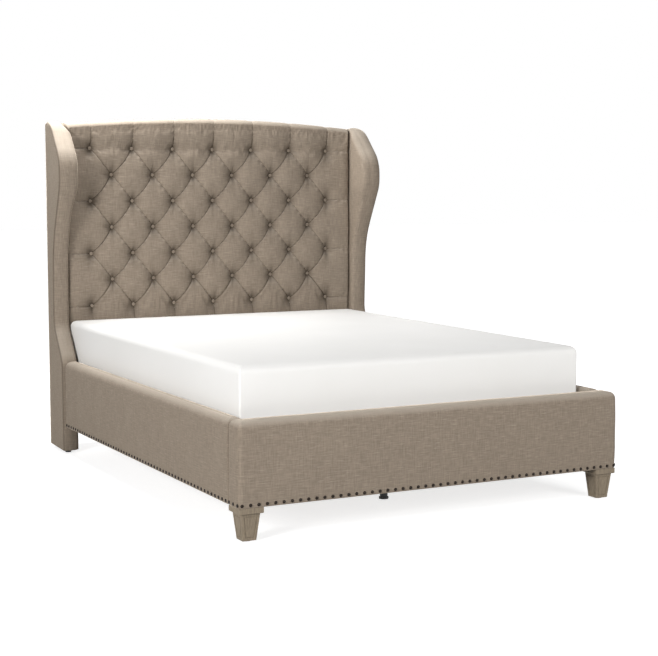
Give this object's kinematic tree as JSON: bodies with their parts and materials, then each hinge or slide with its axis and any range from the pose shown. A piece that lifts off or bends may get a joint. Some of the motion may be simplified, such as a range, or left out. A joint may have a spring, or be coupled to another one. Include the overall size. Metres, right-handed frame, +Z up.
{
  "type": "wingback bed",
  "caption": "Upholstered bed with a diamond-tufted, arched headboard between waisted wings, padded rails and footboard, tapered feet, slat deck and mattress.",
  "frame": {"origin": "on the floor, under the middle of the bed's overall length and width", "axes": "+X to the right seen from the foot end, +Y from the foot end to the headboard, +Z up"},
  "size_m": [1.701, 2.27, 1.594],
  "materials": {
    "linen": "matte",
    "mattress_ticking": "matte",
    "weathered_wood": "matte",
    "frame_timber": "matte",
    "plywood": "matte",
    "zinc_steel": "satin",
    "black_steel": "satin",
    "glide_plastic": "matte",
    "webbing": "matte"
  },
  "bodies": {
    "bed_frame": {"beam_pockets": "zinc_steel", "centre_beam": "frame_timber", "centre_legs": "black_steel", "fitting_screws": "zinc_steel", "foot_bolts": "zinc_steel", "foot_cap_left": "weathered_wood", "foot_cap_right": "weathered_wood", "foot_glides": "glide_plastic", "foot_left": "weathered_wood", "foot_plates": "zinc_steel", "foot_right": "weathered_wood", "footboard_core": "frame_timber", "footboard_cover": "linen", "head_ledge_left": "frame_timber", "head_ledge_right": "frame_timber", "headboard_back_cover": "linen", "headboard_bottom_rail": "frame_timber", "headboard_buttons": "linen", "headboard_middle_rail": "frame_timber", "headboard_panel": "plywood", "headboard_stile_left": "frame_timber", "headboard_stile_right": "frame_timber", "headboard_top_rail": "frame_timber", "headboard_tufted_pad": "linen", "rail_hook_plates": "zinc_steel", "rail_left_board": "frame_timber", "rail_left_cover": "linen", "rail_left_ledge": "frame_timber", "rail_right_board": "frame_timber", "rail_right_cover": "linen", "rail_right_ledge": "frame_timber", "slat_webbing": "webbing", "slats": "frame_timber", "socket_plates": "zinc_steel", "wing_bolts": "zinc_steel", "wing_glides": "glide_plastic", "wing_left_cover": "linen", "wing_left_frame": "frame_timber", "wing_right_cover": "linen", "wing_right_frame": "frame_timber"},
    "mattress": {"mattress": "mattress_ticking"},
    "leveller_1": {"leveller_1": "glide_plastic"},
    "leveller_2": {"leveller_2": "glide_plastic"},
    "leveller_3": {"leveller_3": "glide_plastic"}
  },
  "joints": [
    {"name": "mattress_lift", "type": "slide", "parent": "bed_frame", "child": "mattress", "axis": [0, 0, 1], "range_m": [0, 0.5]},
    {"name": "leveller_1_thread", "type": "slide", "parent": "bed_frame", "child": "leveller_1", "axis": [0, 0, -1], "range_m": [0, 0.012]},
    {"name": "leveller_2_thread", "type": "slide", "parent": "bed_frame", "child": "leveller_2", "axis": [0, 0, -1], "range_m": [0, 0.012]},
    {"name": "leveller_3_thread", "type": "slide", "parent": "bed_frame", "child": "leveller_3", "axis": [0, 0, -1], "range_m": [0, 0.012]}
  ]
}
